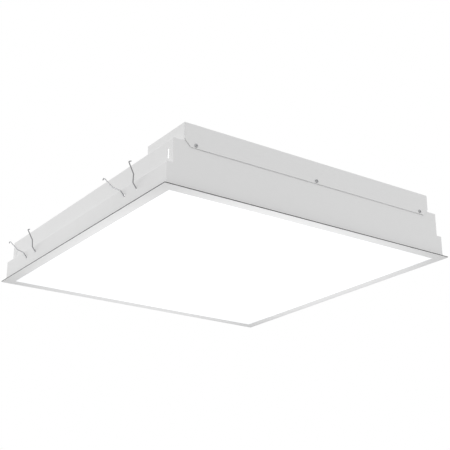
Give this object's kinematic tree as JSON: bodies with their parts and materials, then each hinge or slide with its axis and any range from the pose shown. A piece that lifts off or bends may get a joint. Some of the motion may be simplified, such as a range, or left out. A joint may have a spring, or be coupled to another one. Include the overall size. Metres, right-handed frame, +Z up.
{
  "type": "recessed troffer light",
  "caption": "Square recessed ceiling light: stepped white steel housing with a gear box on top, flat opal panel in a slim trim frame, and sprung wire clips at its sides.",
  "frame": {"origin": "centre of the trim frame's underside, the face seen in the room", "axes": "+Z up into the ceiling void; +X across the housing, square to the stepped sides with the wire clips; the gear box stands along the front, at -Y"},
  "size_m": [0.636, 0.595, 0.113],
  "materials": {
    "housing_paint": "white powder coat, fine texture, satin",
    "trim_paint": "white powder coat, smooth, satin",
    "chamber_paint": "bright white reflector paint, matt",
    "opal_panel": "opal acrylic, satin, lit from behind",
    "seal_rubber": "closed-cell sealing strip",
    "grommet_rubber": "moulded rubber",
    "spring_wire": "drawn spring steel wire",
    "zinc_steel": "bright zinc plated",
    "galvanised_steel": "galvanised sheet",
    "board_mask": "white solder mask",
    "connector_plastic": "moulded nylon",
    "driver_case": "moulded case, satin",
    "terminal_plastic": "moulded terminal block",
    "rivet_nylon": "nylon rivet",
    "brass_metal": "turned brass",
    "lead_brown": "extruded insulation",
    "lead_blue": "extruded insulation",
    "lead_green_yellow": "extruded insulation, striped",
    "lead_red": "extruded insulation",
    "lead_black": "extruded insulation"
  },
  "bodies": {
    "root": {"board_jumpers": "rivet_nylon", "board_rivets": "rivet_nylon", "board_sockets": "connector_plastic", "cable_grommet": "grommet_rubber", "ceiling_gasket": "seal_rubber", "diffuser_retainer_front": "galvanised_steel", "diffuser_retainer_left": "galvanised_steel", "diffuser_retainer_rear": "galvanised_steel", "diffuser_retainer_right": "galvanised_steel", "driver": "driver_case", "driver_screws": "zinc_steel", "earth_lead": "lead_green_yellow", "earth_stud": "brass_metal", "feed_connector": "connector_plastic", "frame_clips": "spring_wire", "front_end_plate": "housing_paint", "gear_box": "housing_paint", "gear_box_rivets": "zinc_steel", "gear_lid": "housing_paint", "housing_tray": "housing_paint", "lead_grommet": "grommet_rubber", "led_board_1": "board_mask", "led_board_2": "board_mask", "led_board_3": "board_mask", "led_board_4": "board_mask", "led_board_5": "board_mask", "led_board_6": "board_mask", "led_lead_minus": "lead_black", "led_lead_plus": "lead_red", "led_tray": "chamber_paint", "led_tray_screws": "zinc_steel", "lid_screws": "zinc_steel", "lid_weld_nuts": "zinc_steel", "live_lead": "lead_brown", "neutral_lead": "lead_blue", "opal_diffuser": "opal_panel", "rear_end_plate": "housing_paint", "terminal_block": "terminal_plastic", "terminal_screws": "brass_metal", "trim_frame": "trim_paint"},
    "wire_clip_left_front": {"wire_clip_left_front": "spring_wire"},
    "wire_clip_left_rear": {"wire_clip_left_rear": "spring_wire"},
    "wire_clip_right_front": {"wire_clip_right_front": "spring_wire"},
    "wire_clip_right_rear": {"wire_clip_right_rear": "spring_wire"}
  },
  "joints": [
    {"name": "wire_clip_left_front_swing", "type": "hinge", "parent": "root", "child": "wire_clip_left_front", "pos_m": [-0.29065, -0.183, 0.025], "axis": [0, 1, 0], "range_deg": [-50, 12], "stiffness_Nm_per_rad": 0.2},
    {"name": "wire_clip_left_rear_swing", "type": "hinge", "parent": "root", "child": "wire_clip_left_rear", "pos_m": [-0.29065, 0.183, 0.025], "axis": [0, 1, 0], "range_deg": [-50, 12], "stiffness_Nm_per_rad": 0.2},
    {"name": "wire_clip_right_front_swing", "type": "hinge", "parent": "root", "child": "wire_clip_right_front", "pos_m": [0.29065, -0.183, 0.025], "axis": [0, -1, 0], "range_deg": [-50, 12], "stiffness_Nm_per_rad": 0.2},
    {"name": "wire_clip_right_rear_swing", "type": "hinge", "parent": "root", "child": "wire_clip_right_rear", "pos_m": [0.29065, 0.183, 0.025], "axis": [0, -1, 0], "range_deg": [-50, 12], "stiffness_Nm_per_rad": 0.2}
  ]
}
